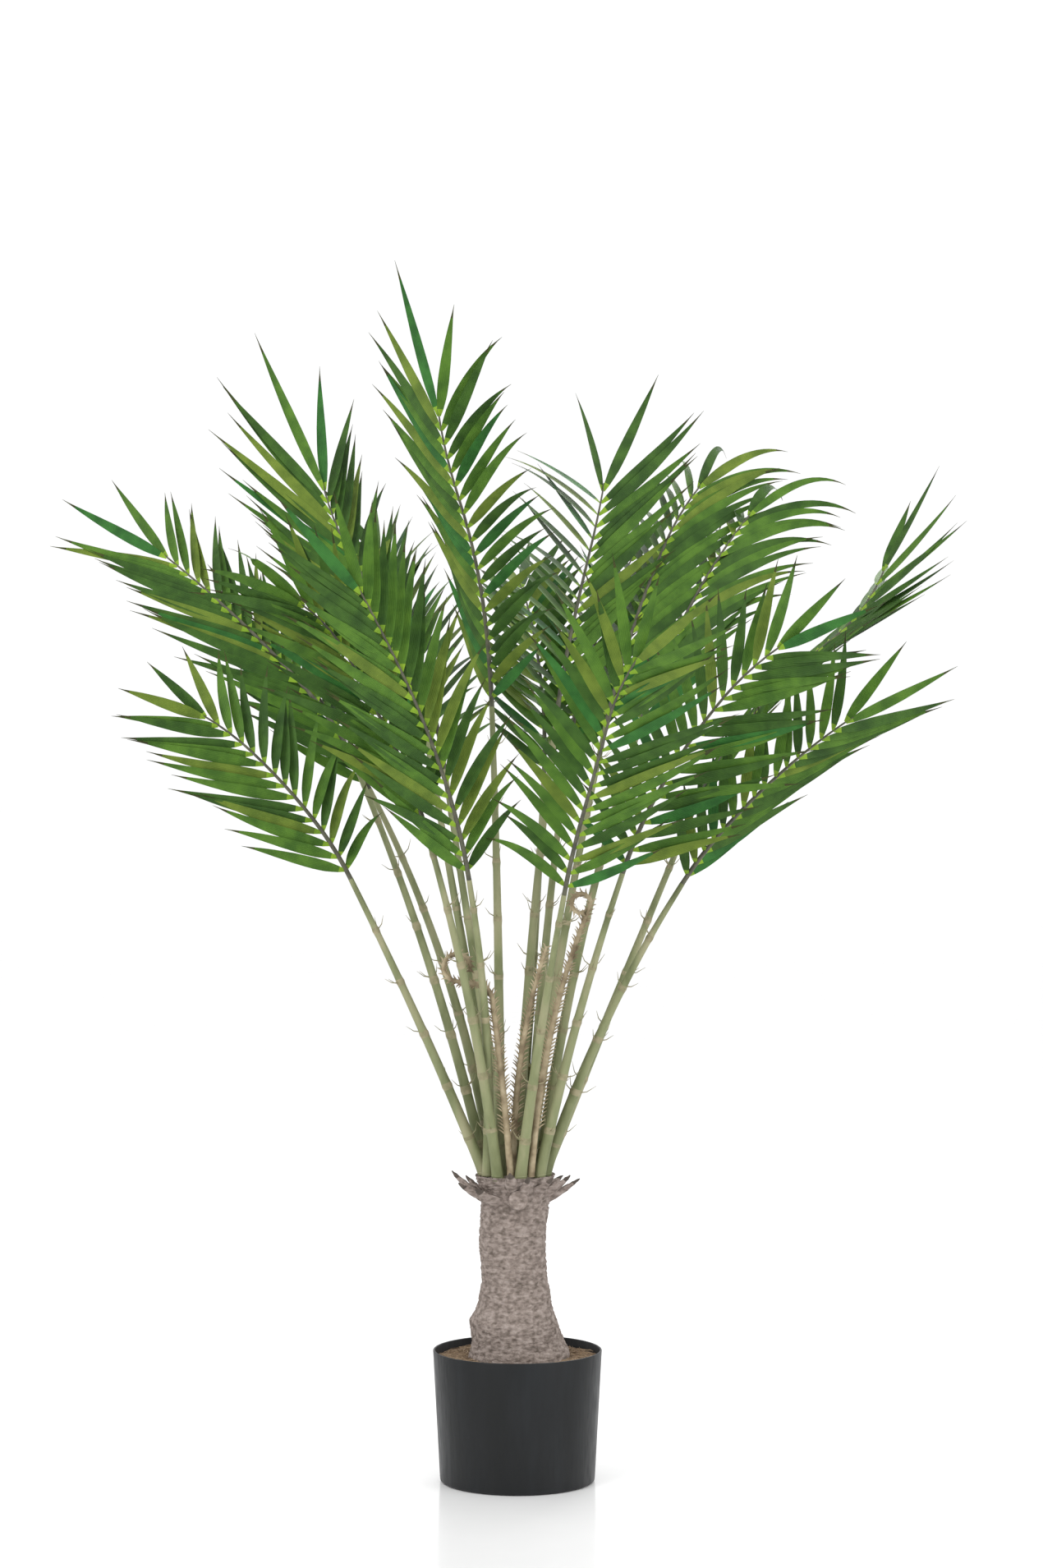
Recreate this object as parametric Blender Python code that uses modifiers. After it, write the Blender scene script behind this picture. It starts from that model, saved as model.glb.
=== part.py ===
"""An artificial chamaedorea palm, 1.38 m tall, in a plain round plastic pot.

Seventeen fronds and three curled young ones stand on top of one short trunk, among the cut
leaf bases that ring it, and the trunk stands on the coir-topped filling of the pot.
Metres, +Z up. The origin is the centre of the pot's flat underside, and -Y is the front.
"""
import math
import random
from collections import namedtuple

import bmesh
import bpy
import numpy as np
from mathutils import Matrix, Vector
from mathutils.bvhtree import BVHTree

MM = 0.001
GAP = 0.0003
UP = np.array((0.0, 0.0, 1.0))
FRONT = np.array((0.0, -1.0, 0.0))

# The pot, a thin round bucket that widens to its rim
POT_HEIGHT = 0.1515
POT_RIM_RADIUS = 0.0975
POT_BASE_RADIUS = 0.0895
POT_WALL = 0.0023
POT_FLOOR = 0.003
POT_EDGE = 0.003
POT_SIDES = 32

# The filling, which stops short of the rim
FILL_TOP = 0.142

# The trunk: height above the filling, radius and shift of its middle from the pot's, in mm
TRUNK_RINGS = ((0, 59, 2), (8, 57, 2), (16, 54, 1), (42, 50.5, -4), (63, 42, -3), (92, 38, -4),
               (122, 37.5, -6), (150, 38, -5), (181, 38.5, -3), (196, 42, -3), (212, 45.5, -3))
TRUNK_X = TRUNK_RINGS[-1][2] * MM
TRUNK_TOP = FILL_TOP + GAP + TRUNK_RINGS[-1][0] * MM
TRUNK_SIDES = 16

# The cut leaf bases round the trunk's top
HUSK_COUNT = 14
HUSK_LENGTH = 0.050
HUSK_WIDTH = 0.028
HUSK_THICK = 0.012
HUSK_TIP = 0.0015
HUSK_TILT = (48, 66)
HUSK_DROP = (0.016, 0.032)
HUSK_SUNK = 0.012
HUSK_SEED = 5
STUB_RADIUS = 0.012
STUB_LENGTH = 0.020
STUB_DROP = 0.026
STUB_TILT = 80
STUB_SHIFT = 0.004

# Stems are round and taper to the blade
STEM_FOOT_RADIUS = 0.0065
STEM_TIP_RADIUS = 0.0030
STEM_STEPS = 7
FOOT_RISE = 0.004
STEM_END_FREE = 0.004

# Blades: a flat rib with leaflets cut to it on both sides
LEAF_THICK = 0.002
LEAF_WIDTH = 0.0115
LEAF_ROOT = 0.0050
LEAF_STEPS = 12
INNER_STEPS = (5,)
OUTER_STEPS = (4, 8)
RIB_HALF = (0.0030, 0.0016)
FOLD = math.radians(-12)
TWIST = math.radians(50)
OUTER_SPREAD = 0.80
INNER_LENGTH = 0.76
LAST_PAIR = 0.4
LEAF_CLEAR = 0.0008

# Each frond: foot on the trunk's top (x, y mm); lean to the left at the foot, at the blade, at
# three and seven tenths of the blade and at its tip; lean back at foot, blade and tip
# (degrees); stem and blade (mm); turn of the blade from the front; first and last leaflets
# (mm); pairs; spread of the first, middle and last leaflets; and how far the last ones rise
BLADE_STATIONS = (0, 0.3, 0.7, 1)
Frond = namedtuple("Frond", "foot left back stem blade face leaf pairs spread lift", defaults=(0,))
FRONDS = (
    Frond((-37, -2), (22, 26, 37, 46, 60), (-3, -8, -12), 372, 262, 30, (158, 115), 12, (60, 52, 40)),
    Frond((-34, 14), (13, 23, 41, 48, 52), (3, 8, 12), 485, 360, 30, (172, 150), 17, (52, 38, 38), 0.1),
    Frond((-26, 27), (9, 28, 30, 38, 56), (6, 16, 28), 472, 285, 40, (165, 140), 14, (52, 40, 36)),
    Frond((-20, -32), (7, 16, 25, 28, 56), (-6, -14, -34), 420, 310, 30, (172, 150), 15, (52, 40, 30), -0.3),
    Frond((-31, -15), (-2, 9, 17, 25, 28), (-8, -18, -32), 350, 385, 30, (172, 150), 17, (56, 42, 34)),
    Frond((-12, 36), (11, 10, 24, 30, 14), (5, 10, 14), 512, 338, 35, (190, 205), 17, (52, 42, 30), 0.1),
    Frond((-6, 8), (10, 9, 14, 22, 30), (6, 20, 44), 480, 340, 20, (170, 150), 15, (52, 40, 32)),
    Frond((-17, -5), (0, 2, 7, 18, 8), (0, -2, -6), 535, 348, -50, (165, 175), 17, (50, 56, 44), -0.2),
    Frond((4, 20), (-2, -8, -12, -14, -10), (4, 14, 22), 540, 294, -10, (172, 190), 14, (52, 48, 50)),
    Frond((3, 37), (-5, -3, 4, 11, 20), (8, 28, 60), 480, 340, -15, (165, 150), 15, (52, 40, 32)),
    Frond((17, 33), (-3, -8, -15, -23, -30), (8, 24, 44), 490, 330, -25, (165, 150), 15, (52, 40, 32)),
    Frond((7, -36), (-7, -10, -15, -14, -34), (-8, -22, -44), 340, 330, -20, (172, 150), 16, (70, 60, 40)),
    Frond((17, 6), (-7, -13, -18, -24, -40), (4, 16, 30), 530, 350, -30, (172, 150), 15, (52, 42, 36), -0.8),
    Frond((29, 23), (-8, -18, -24, -32, -40), (4, 12, 20), 530, 310, -52, (160, 140), 15, (56, 56, 48), -1.2),
    Frond((29, -23), (-12, -18, -28, -39, -56), (-6, -14, -24), 365, 335, -30, (168, 140), 15, (70, 60, 40)),
    Frond((36, 8), (-22, -23, -38, -52, -20), (2, 6, 8), 440, 386, -82, (165, 140), 17, (36, 32, 60), 0.2),
    Frond((36, -8), (-18, -32, -42, -49, -56), (-3, -8, -14), 370, 275, 40, (160, 150), 13, (44, 42, 48)),
)

# Each curled young frond: foot (mm); where along it its leans to the left are given, and these
# leans; lean back; and length (mm)
Curl = namedtuple("Curl", "foot spots left back length")
CURLS = (
    Curl((-5, -36), (0, 0.62, 0.70, 0.78, 1), (4, 8, 90, 70, -200), -3, 330),
    Curl((-2, -17), (0, 0.4, 1), (0, -6, -18), -4, 265),
    Curl((19, -32), (0, 0.45, 0.84, 1), (-4, -12, -22, 290), -3, 375),
)
CURL_RADIUS = (0.0042, 0.0016)
CURL_STEPS = 24
CURL_EASE = 1.6

for old in list(bpy.data.objects):
    bpy.data.objects.remove(old, do_unlink=True)
palm = bpy.data.collections.new("potted_chamaedorea_palm")
bpy.context.scene.collection.children.link(palm)


def make_material(name, colour, roughness, metallic=0.0):
    """A plain Principled material."""
    material = bpy.data.materials.new(name)
    material.use_nodes = True
    shader = material.node_tree.nodes["Principled BSDF"]
    shader.inputs["Base Color"].default_value = (*colour, 1.0)
    shader.inputs["Roughness"].default_value = roughness
    shader.inputs["Metallic"].default_value = metallic
    return material


POT_PLASTIC = make_material("pot_plastic", (0.012, 0.013, 0.015), 0.38)
COIR = make_material("coir_filling", (0.16, 0.10, 0.05), 0.95)
BARK = make_material("trunk_bark", (0.24, 0.20, 0.16), 0.90)
STEM_SKIN = make_material("stem_plastic", (0.22, 0.22, 0.12), 0.55)
LEAF_GREEN = make_material("leaf_fabric", (0.07, 0.16, 0.02), 0.50)
CURL_TAN = make_material("young_frond_plastic", (0.36, 0.30, 0.20), 0.65)


def unit(vector):
    """The vector at length one."""
    return vector / np.linalg.norm(vector)


def turned(vector, axis, angle):
    """The vector turned about a unit axis."""
    along = axis * np.dot(axis, vector)
    across = np.cross(axis, vector)
    return along + (vector - along) * math.cos(angle) + across * math.sin(angle)


def heading(left, back):
    """Unit direction that leans to the left in the front view, and back, in degrees."""
    left = math.radians(left)
    back = math.radians(back)
    return np.array((-math.cos(back) * math.sin(left), math.sin(back), math.cos(back) * math.cos(left)))


def leaning_path(start, spots, left, back, length, steps):
    """Points and directions of a path whose lean follows the given stations."""
    points = [start]
    ways = []
    for step in range(steps):
        share = (step + 0.5) / steps
        way = heading(np.interp(share, spots, left), np.interp(share, (0, 1), back))
        ways.append(way)
        points.append(points[-1] + way * length / steps)
    return points, ways


def link_mesh(name, bm, material):
    """One named object of the palm from a bmesh."""
    mesh = bpy.data.meshes.new(name)
    bm.to_mesh(mesh)
    bm.free()
    mesh.materials.append(material)
    piece = bpy.data.objects.new(name, mesh)
    palm.objects.link(piece)
    return piece


def turned_solid(name, profile, material):
    """A solid of revolution; the profile of (radius, height) runs down its outer side."""
    bm = bmesh.new()
    corners = [bm.verts.new((radius, 0, height)) for radius, height in profile]
    for lower, upper in zip(corners, corners[1:]):
        bm.edges.new((lower, upper))
    piece = link_mesh(name, bm, material)
    screw = piece.modifiers.new("turn", "SCREW")
    screw.steps = POT_SIDES
    screw.render_steps = POT_SIDES
    screw.use_merge_vertices = True
    screw.merge_threshold = 0.0001
    screw.use_smooth_shade = True
    return piece


def tube(name, points, radii, sides_level, material):
    """A round tapering bar along the points, closed at both ends."""
    curve = bpy.data.curves.new(name, "CURVE")
    curve.dimensions = "3D"
    curve.bevel_depth = radii[0]
    curve.bevel_resolution = sides_level
    curve.use_fill_caps = True
    line = curve.splines.new("POLY")
    line.points.add(len(points) - 1)
    for spot, place, radius in zip(line.points, points, radii):
        spot.co = (*place, 1.0)
        spot.radius = radius / radii[0]
    curve.materials.append(material)
    piece = bpy.data.objects.new(name, curve)
    palm.objects.link(piece)
    return piece


def as_mesh(piece):
    """The same piece as a mesh object, with its end caps welded on."""
    bpy.context.view_layer.update()
    evaluated = piece.evaluated_get(bpy.context.evaluated_depsgraph_get())
    mesh = bpy.data.meshes.new_from_object(evaluated)
    bm = bmesh.new()
    bm.from_mesh(mesh)
    bmesh.ops.remove_doubles(bm, verts=bm.verts, dist=0.00005)
    bm.to_mesh(mesh)
    bm.free()
    result = bpy.data.objects.new(piece.name, mesh)
    result.matrix_world = piece.matrix_world
    name = piece.name
    bpy.data.objects.remove(piece, do_unlink=True)
    result.name = name
    palm.objects.link(result)
    return result


# The pot and its filling
def inner_radius(height):
    """Radius of the pot's inner wall at a height."""
    share = height / POT_HEIGHT
    return POT_BASE_RADIUS + (POT_RIM_RADIUS - POT_BASE_RADIUS) * share - POT_WALL


turned_solid("pot", (
    (0, POT_FLOOR),
    (inner_radius(POT_FLOOR), POT_FLOOR),
    (inner_radius(POT_HEIGHT), POT_HEIGHT),
    (POT_RIM_RADIUS, POT_HEIGHT),
    (POT_BASE_RADIUS + 0.0002, POT_EDGE),
    (POT_BASE_RADIUS - 0.3 * POT_EDGE, 0.3 * POT_EDGE),
    (POT_BASE_RADIUS - POT_EDGE, 0),
    (0, 0),
), POT_PLASTIC)
turned_solid("coir_filling", (
    (0, FILL_TOP),
    (inner_radius(FILL_TOP) - GAP, FILL_TOP),
    (inner_radius(POT_FLOOR + GAP) - GAP, POT_FLOOR + GAP),
    (0, POT_FLOOR + GAP),
), COIR)


# The trunk, with the cut leaf bases and one round stub joined to it
def make_trunk():
    """One solid: the tapering trunk and the pointed husks round its top."""
    foot = FILL_TOP + GAP
    points = [(shift * MM, 0, foot + height * MM) for height, radius, shift in TRUNK_RINGS]
    radii = [radius * MM for height, radius, shift in TRUNK_RINGS]
    trunk = as_mesh(tube("trunk", points, radii, TRUNK_SIDES // 2 - 2, BARK))
    joined = bpy.data.collections.new("husks")
    bpy.context.scene.collection.children.link(joined)
    rng = random.Random(HUSK_SEED)
    for index in range(HUSK_COUNT):
        angle = 2 * math.pi * (index + 0.35 * rng.random()) / HUSK_COUNT
        tilt = math.radians(rng.uniform(*HUSK_TILT))
        length = HUSK_LENGTH * rng.uniform(0.8, 1.1)
        bm = bmesh.new()
        bmesh.ops.create_cone(bm, cap_ends=True, segments=4, radius1=HUSK_WIDTH / 2, radius2=HUSK_TIP,
                              depth=length)
        shape = Matrix.Translation((0, 0, length / 2)) @ Matrix.Diagonal((HUSK_THICK / HUSK_WIDTH, 1, 1, 1))
        bm.transform(shape)
        root = Matrix.Translation((TRUNK_X, 0, TRUNK_TOP - rng.uniform(*HUSK_DROP)))
        out = Matrix.Translation((TRUNK_RINGS[-2][1] * MM - HUSK_SUNK, 0, 0))
        bm.transform(root @ Matrix.Rotation(angle, 4, "Z") @ out @ Matrix.Rotation(tilt, 4, "Y"))
        husk = link_mesh(f"husk_{index}", bm, BARK)
        palm.objects.unlink(husk)
        joined.objects.link(husk)
    bm = bmesh.new()
    bmesh.ops.create_cone(bm, cap_ends=True, segments=10, radius1=STUB_RADIUS, radius2=STUB_RADIUS * 0.9,
                          depth=STUB_LENGTH)
    bm.transform(Matrix.Translation((TRUNK_X + STUB_SHIFT, -TRUNK_RINGS[-3][1] * MM, TRUNK_TOP - STUB_DROP))
                 @ Matrix.Rotation(math.radians(STUB_TILT), 4, "X"))
    stub = link_mesh("stub", bm, BARK)
    palm.objects.unlink(stub)
    joined.objects.link(stub)
    union = trunk.modifiers.new("join", "BOOLEAN")
    union.operation = "UNION"
    union.operand_type = "COLLECTION"
    union.collection = joined
    union.solver = "EXACT"
    bpy.context.view_layer.update()
    whole = bpy.data.meshes.new_from_object(trunk.evaluated_get(bpy.context.evaluated_depsgraph_get()))
    trunk.modifiers.clear()
    trunk.data = whole
    for piece in list(joined.objects):
        bpy.data.objects.remove(piece, do_unlink=True)
    bpy.data.collections.remove(joined)
    return trunk


make_trunk()


# Stems and the ribs that carry on from them
def foot_point(foot):
    """Where a stem stands on the trunk's flat top."""
    return np.array((TRUNK_X + foot[0] * MM, foot[1] * MM, TRUNK_TOP + GAP))


def stem_path(frond):
    """Points of the stem and its direction at the blade."""
    foot = foot_point(frond.foot)
    knee = foot + UP * FOOT_RISE
    points, ways = leaning_path(knee, (0, 1), frond.left[:2], frond.back[:2], frond.stem * MM, STEM_STEPS)
    return [foot] + points, ways[-1]


def rib_path(frond, start):
    """Points of the rib, one between each two pairs of leaflets, and its directions."""
    return leaning_path(start, BLADE_STATIONS, frond.left[1:], frond.back[1:], frond.blade * MM, frond.pairs)


def leaflet_spine(root, rib_way, way, length, curl, sink):
    """Points along one leaflet, and its direction after each."""
    points = [root]
    ways = []
    for step in range(1, LEAF_STEPS + 1):
        share = step / LEAF_STEPS
        ways.append(unit(way + rib_way * curl * share - UP * sink * share ** 2))
        points.append(points[-1] + ways[-1] * length / LEAF_STEPS)
    return points, ways


def leaflet_side(rib_way, normal, way, twist):
    """Across a leaflet, from its lower edge to the edge towards the frond's tip."""
    face = unit(normal - way * np.dot(normal, way))
    across = np.cross(way, face)
    if np.dot(across, rib_way) < 0:
        across = -across
    return math.cos(twist) * across - math.sin(twist) * face


def leaflet_width(share):
    """Share of the full width: narrow at the root, widest at a third, drawn out to the tip."""
    return float(np.interp(share, (0, 0.12, 0.33, 0.60, 0.85, 1), (0.4, 0.8, 1, 0.7, 0.28, 0.03)))


def leaflet_prism(points, ways, rib_way, normal, twist, margin):
    """A closed body a little larger than the leaflet, to find what it would touch."""
    corners = []
    for step in (1, 4, 8, LEAF_STEPS):
        way = ways[min(step, LEAF_STEPS - 1)]
        across = leaflet_side(rib_way, normal, way, twist)
        face = np.cross(way, across)
        half = across * (LEAF_WIDTH / 2 * leaflet_width(step / LEAF_STEPS) + margin)
        deep = face * (LEAF_THICK / 2 + margin)
        corners += [points[step] - half - deep, points[step] + half - deep]
        corners += [points[step] + half + deep, points[step] - half + deep]
    faces = [(0, 1, 2, 3), (12, 13, 14, 15)]
    for ring in (0, 4, 8):
        for side in range(4):
            other = (side + 1) % 4
            faces.append((ring + side, ring + other, ring + 4 + other, ring + 4 + side))
    return corners, faces


class Occupied:
    """Bodies already placed, searched for contact."""

    def __init__(self):
        self.corners = []
        self.faces = []
        self.tree = None

    def add(self, corners, faces):
        """Takes in one more body."""
        start = len(self.corners)
        self.corners += [Vector(corner) for corner in corners]
        self.faces += [tuple(start + index for index in face) for face in faces]
        self.tree = None

    def touches(self, corners, faces):
        """Whether a body crosses any that is placed."""
        if not self.faces:
            return False
        if self.tree is None:
            self.tree = BVHTree.FromPolygons(self.corners, self.faces)
        body = BVHTree.FromPolygons([Vector(corner) for corner in corners], faces)
        return bool(self.tree.overlap(body))


def bar_body(points, radii):
    """A six-sided body round a bar."""
    corners = []
    faces = []
    for index, (place, radius) in enumerate(zip(points, radii)):
        way = unit(points[min(index + 1, len(points) - 1)] - points[max(index - 1, 0)])
        first = unit(np.cross(way, np.array((0.3, 1.0, 0.1))))
        second = np.cross(way, first)
        for side in range(6):
            angle = math.pi * side / 3
            reach = radius / math.cos(math.pi / 6)
            corners.append(place + (first * math.cos(angle) + second * math.sin(angle)) * reach)
            if index:
                other = (side + 1) % 6
                low = 6 * (index - 1)
                high = 6 * index
                faces.append((low + side, low + other, high + other, high + side))
    return corners, faces


def even_radii(ends, count):
    """Radii that run evenly from one end's to the other's."""
    return [ends[0] + (ends[1] - ends[0]) * index / (count - 1) for index in range(count)]


limbs = Occupied()
blades = []
for number, frond in enumerate(FRONDS, 1):
    points, end_way = stem_path(frond)
    radii = even_radii((STEM_FOOT_RADIUS, STEM_TIP_RADIUS), len(points))
    tube(f"stem_{number:02d}", points, radii, 1, STEM_SKIN)
    rib, rib_ways = rib_path(frond, points[-1] + end_way * GAP)
    limbs.add(*bar_body(points[:-1] + [points[-1] - end_way * STEM_END_FREE], radii))
    blades.append((number, frond, rib, rib_ways))

for number, curl in enumerate(CURLS, 1):
    foot = foot_point(curl.foot)
    points = [foot]
    points.append(foot + UP * FOOT_RISE)
    cuts = [1 - (1 - step / CURL_STEPS) ** CURL_EASE for step in range(CURL_STEPS + 1)]
    for low, high in zip(cuts, cuts[1:]):
        way = heading(np.interp((low + high) / 2, curl.spots, curl.left), curl.back)
        points.append(points[-1] + way * curl.length * MM * (high - low))
    radii = even_radii(CURL_RADIUS, len(points))
    limbs.add(*bar_body(points, radii))
    tube(f"young_frond_{number}", points, radii, 1, CURL_TAN)


# Blades: a leaflet that would touch a limb or another leaflet is tried at other angles (turn in
# degrees, and lift), then shorter, and is skipped if none of these is clear
TRIES = ((0, 0, 1), (6, 0, 1), (-6, 0, 1), (0, 0.15, 1), (0, -0.15, 1), (12, 0.1, 1), (-12, 0.1, 1),
         (12, -0.2, 1), (-12, -0.2, 1), (0, 0.35, 1), (0, -0.35, 1), (18, 0, 0.9), (-18, 0, 0.9),
         (8, 0.5, 0.9), (-8, -0.5, 0.9), (0, 0, 0.75), (10, 0.2, 0.75), (-10, -0.2, 0.75),
         (20, 0.3, 0.75), (-20, -0.3, 0.75), (0, 0, 0.55), (15, 0, 0.55), (-15, 0, 0.55))


def inner_row(frond, sign):
    """Whether this row of leaflets is the one on the palm's side, which shows its face."""
    return (sign > 0) == (frond.left[2] > 0)


def leaflet_plan(frond, index, sign, rib, rib_ways, rng):
    """Start, direction and bends of one leaflet before it is fitted among the others."""
    share = index / (frond.pairs - 1)
    rib_way = rib_ways[index]
    normal = turned(unit(FRONT - rib_way * np.dot(FRONT, rib_way)), rib_way, math.radians(frond.face))
    side = np.cross(rib_way, normal) * sign
    inner = inner_row(frond, sign)
    spread = np.interp(share, (0, 0.5, 1), frond.spread) + rng.uniform(-5, 5)
    if index == frond.pairs - 1:
        spread *= LAST_PAIR
    length = np.interp(share, (0, 0.3, 0.6, 1), (0.8 * frond.leaf[0], *frond.leaf[:1] * 2, frond.leaf[1]))
    length *= MM * rng.uniform(0.9, 1.08)
    curl = (-0.1 if inner else 0.35) + rng.uniform(-0.2, 0.2)
    sink = rng.uniform(0, 0.35) * (1 - 0.6 * share) - frond.lift * share
    if inner:
        length *= INNER_LENGTH
    else:
        spread *= OUTER_SPREAD
    return rib_way, normal, side, spread, length, curl, sink


def place_leaflet(plan, root, twist, taken):
    """Spine of the leaflet at the first angle that is clear, or nothing."""
    rib_way, normal, side, spread, length, curl, sink = plan
    for turn, lift, scale in TRIES:
        angle = math.radians(spread + turn)
        out = math.cos(FOLD) * side + math.sin(FOLD) * normal
        way = math.cos(angle) * rib_way + math.sin(angle) * out + normal * lift
        points, ways = leaflet_spine(root, rib_way, unit(way), length * scale, curl, sink)
        body = leaflet_prism(points, ways, rib_way, normal, twist, LEAF_CLEAR)
        if not any(group.touches(*body) for group in taken):
            return points, ways, body
    return None


rib_bodies = {}
for number, frond, rib, rib_ways in blades:
    rib_bodies[number] = bar_body(rib, even_radii(RIB_HALF, len(rib)))

others = Occupied()
for number, frond, rib, rib_ways in blades:
    rng = random.Random(40 + number)
    twist = TWIST if (frond.face > 0) == (frond.left[2] > 0) else -TWIST
    ribs = Occupied()
    for other, body in rib_bodies.items():
        if other != number:
            ribs.add(*body)
    own = Occupied()
    bm = bmesh.new()
    edge = []
    for index in range(frond.pairs):
        rib_way = rib_ways[index]
        normal = turned(unit(FRONT - rib_way * np.dot(FRONT, rib_way)), rib_way, math.radians(frond.face))
        across = np.cross(rib_way, normal)
        middle = (rib[index] + rib[index + 1]) / 2
        half = RIB_HALF[0] + (RIB_HALF[1] - RIB_HALF[0]) * index / frond.pairs
        if index == 0:
            edge.append((rib[0] - across * half, rib[0] + across * half))
        for step in (-0.5, 0.5):
            place = middle + rib_way * LEAF_ROOT * step
            edge.append((place - across * half, place + across * half))
    rib_corners = [(bm.verts.new(low), bm.verts.new(high)) for low, high in edge]
    for (a, b), (c, d) in zip(rib_corners, rib_corners[1:]):
        bm.faces.new((a, b, d, c))
    for index in range(frond.pairs):
        for sign in (1, -1):
            plan = leaflet_plan(frond, index, sign, rib, rib_ways, rng)
            rib_way, normal = plan[:2]
            near, far = (rib_corners[2 * index + 1][sign > 0], rib_corners[2 * index + 2][sign > 0])
            root = np.array((near.co + far.co) / 2)
            fitted = place_leaflet(plan, root, twist, (limbs, ribs, others, own))
            if fitted is None:
                continue
            points, ways, body = fitted
            own.add(*body)
            for step in INNER_STEPS if inner_row(frond, sign) else OUTER_STEPS:
                across = leaflet_side(rib_way, normal, ways[step], twist)
                half = across * LEAF_WIDTH / 2 * leaflet_width(step / LEAF_STEPS)
                low = bm.verts.new(points[step] - half)
                high = bm.verts.new(points[step] + half)
                bm.faces.new((near, low, high, far))
                near, far = low, high
            tip = bm.verts.new(points[-1])
            bm.faces.new((near, tip, far))
    others.add(own.corners, own.faces)
    bmesh.ops.recalc_face_normals(bm, faces=bm.faces)
    blade = link_mesh(f"frond_{number:02d}", bm, LEAF_GREEN)
    thick = blade.modifiers.new("thickness", "SOLIDIFY")
    thick.thickness = LEAF_THICK
    thick.offset = 0.0
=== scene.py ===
import math
import random
from collections import namedtuple

import bmesh
import bpy
import numpy as np
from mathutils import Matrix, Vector, noise


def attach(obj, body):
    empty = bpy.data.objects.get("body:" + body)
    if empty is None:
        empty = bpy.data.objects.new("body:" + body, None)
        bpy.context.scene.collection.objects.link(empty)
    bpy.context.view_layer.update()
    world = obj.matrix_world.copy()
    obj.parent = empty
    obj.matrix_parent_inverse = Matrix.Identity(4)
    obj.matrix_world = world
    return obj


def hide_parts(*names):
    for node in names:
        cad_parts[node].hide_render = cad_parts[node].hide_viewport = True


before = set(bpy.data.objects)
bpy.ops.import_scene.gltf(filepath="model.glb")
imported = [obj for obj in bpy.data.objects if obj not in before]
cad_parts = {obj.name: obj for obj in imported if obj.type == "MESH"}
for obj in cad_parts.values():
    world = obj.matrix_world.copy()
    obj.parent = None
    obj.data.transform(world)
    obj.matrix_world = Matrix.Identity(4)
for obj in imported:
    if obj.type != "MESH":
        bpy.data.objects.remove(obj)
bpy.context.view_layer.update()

# The pot: a thin-walled round bucket of black plastic, moulded in one shot with a rounded
# rim and a small radius at the foot. It is plain, with faint upright streaks in its finish.
POT_HEIGHT = 0.1515
POT_RIM_RADIUS = 0.0975
POT_BASE_RADIUS = 0.0895
POT_WALL = 0.0023
POT_FLOOR = 0.003
POT_EDGE = 0.003
POT_SIDES = 160
POT_MERGE = 0.00005
ROUND_STEPS = 6
TONE_START = 0.32
TONE_SPAN = 0.36
DRIFT_DETAIL = 6
GRAIN_DETAIL = 4
GRAIN_LOW = 0.3
GRAIN_HIGH = 0.7
GRAIN_STRENGTH = 0.8


def add_node(tree, kind, **settings):
    """A shader node with the given values on its own sockets."""
    node = tree.nodes.new(kind)
    for socket, value in settings.items():
        node.inputs[socket.replace("_", " ")].default_value = value
    return node


def add_relief(tree, height, relief, strength):
    """Shades a surface as if it stood out by a node's height, up to the relief in metres."""
    bump = add_node(tree, "ShaderNodeBump", Distance=relief, Strength=strength)
    tree.links.new(height, bump.inputs["Height"])
    tree.links.new(bump.outputs["Normal"], tree.nodes["Principled BSDF"].inputs["Normal"])


def finish_surface(name, tones, scale, roughness, relief, stretch=(1, 1, 1), fine=6.0, shine=0.5):
    """A moulded or cast surface: its tones drift, and its sheen and its relief are uneven."""
    material = bpy.data.materials.new(name)
    material.use_nodes = True
    tree = material.node_tree
    shader = tree.nodes["Principled BSDF"]
    shader.inputs["Specular IOR Level"].default_value = shine
    place = tree.nodes.new("ShaderNodeTexCoord")
    mapping = add_node(tree, "ShaderNodeMapping", Scale=stretch)
    tree.links.new(place.outputs["Object"], mapping.inputs["Vector"])
    drift = add_node(tree, "ShaderNodeTexNoise", Scale=scale, Detail=DRIFT_DETAIL)
    tree.links.new(mapping.outputs["Vector"], drift.inputs["Vector"])
    ramp = tree.nodes.new("ShaderNodeValToRGB")
    for index, tone in enumerate(tones):
        spot = TONE_START + TONE_SPAN * index / (len(tones) - 1)
        if index < 2:
            element = ramp.color_ramp.elements[index]
            element.position = spot
        else:
            element = ramp.color_ramp.elements.new(spot)
        element.color = (*tone, 1.0)
    tree.links.new(drift.outputs["Fac"], ramp.inputs["Fac"])
    tree.links.new(ramp.outputs["Color"], shader.inputs["Base Color"])
    grain = add_node(tree, "ShaderNodeTexNoise", Scale=scale * fine, Detail=GRAIN_DETAIL)
    tree.links.new(mapping.outputs["Vector"], grain.inputs["Vector"])
    sheen = add_node(tree, "ShaderNodeMapRange", From_Min=GRAIN_LOW, From_Max=GRAIN_HIGH,
                     To_Min=roughness[0], To_Max=roughness[1])
    tree.links.new(grain.outputs["Fac"], sheen.inputs["Value"])
    tree.links.new(sheen.outputs["Result"], shader.inputs["Roughness"])
    add_relief(tree, grain.outputs["Fac"], relief, GRAIN_STRENGTH)
    return material


def put(piece, slot, *nodes):
    """Hangs a finished piece on the plant's one body and hides the nodes it stands for; its slot is not
    used.
    """
    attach(piece, "root")
    if nodes:
        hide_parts(*nodes)


def arc(centre, radius, start, end):
    """Points of an arc from one angle to another, in degrees."""
    angles = np.radians(np.linspace(start, end, ROUND_STEPS))
    return [(centre[0] + radius * math.cos(angle), centre[1] + radius * math.sin(angle)) for angle in angles]


def inner_radius(height):
    """Radius of the pot's inner wall at a height."""
    return POT_BASE_RADIUS + (POT_RIM_RADIUS - POT_BASE_RADIUS) * height / POT_HEIGHT - POT_WALL


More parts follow.
